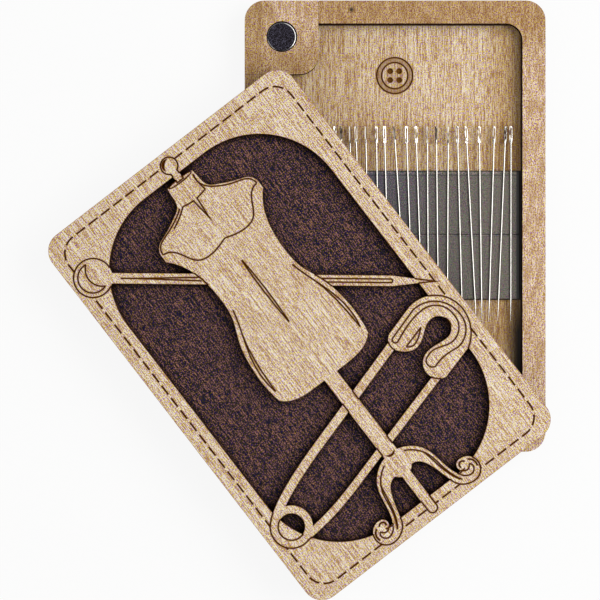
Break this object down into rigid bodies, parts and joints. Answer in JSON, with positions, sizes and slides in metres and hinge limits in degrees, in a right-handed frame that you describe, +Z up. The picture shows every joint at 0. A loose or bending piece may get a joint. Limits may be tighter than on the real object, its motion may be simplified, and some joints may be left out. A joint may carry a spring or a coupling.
{
  "type": "magnetic needle case",
  "caption": "Flat wooden case for sewing needles: a shallow tray with magnetic sheets under a fretwork lid that swings sideways on a corner pin and latches on disc magnets.",
  "frame": {"origin": "the middle of the tray's underside", "axes": "+Z up, out of the tray's open face. +Y towards the tray's short edge beside the lock magnet. +X towards the long edge beside the pivot."},
  "size_m": [0.1323, 0.1587, 0.0122],
  "materials": {
    "lid_wood": "bare sanded plywood, laser cut",
    "backing_wood": "dark stained plywood, open grain",
    "floor_wood": "bare plywood, fine straight grain",
    "rail_wood": "bare plywood, blotchy brown",
    "pad_wood": "bare plywood, fine straight grain",
    "magnet_nickel": "polished nickel plating",
    "magnetic_sheet": "matte ferrite-filled sheet",
    "needle_steel": "polished nickel-plated steel",
    "pin_steel": "turned steel"
  },
  "bodies": {
    "tray": {"base_plate": "floor_wood", "rail_top_right": "rail_wood", "rail_left_bottom": "rail_wood", "lock_pad": "pad_wood", "pivot_pad": "pad_wood", "tray_lock_magnet": "magnet_nickel", "upper_magnet_sheet": "magnetic_sheet", "lower_magnet_sheet": "magnetic_sheet", "needle_01": "needle_steel", "needle_02": "needle_steel", "needle_03": "needle_steel", "needle_04": "needle_steel", "needle_05": "needle_steel", "needle_06": "needle_steel", "needle_07": "needle_steel", "needle_08": "needle_steel", "needle_09": "needle_steel", "needle_10": "needle_steel", "needle_11": "needle_steel", "needle_12": "needle_steel", "needle_13": "needle_steel", "needle_14": "needle_steel", "needle_15": "needle_steel", "needle_16": "needle_steel", "needle_17": "needle_steel", "needle_18": "needle_steel", "needle_19": "needle_steel", "needle_20": "needle_steel", "needle_21": "needle_steel", "needle_22": "needle_steel", "needle_23": "needle_steel", "needle_24": "needle_steel", "needle_25": "needle_steel"},
    "lid": {"lid_backing": "backing_wood", "lid_fretwork": "lid_wood", "lid_lock_magnet": "magnet_nickel", "pivot_pin": "pin_steel"}
  },
  "joints": [
    {"name": "lid_swing", "type": "hinge", "parent": "tray", "child": "lid", "pos_m": [0.0297, -0.0518, 0.0046], "axis": [0, 0, 1], "range_deg": [-37.6, 142.4]}
  ]
}
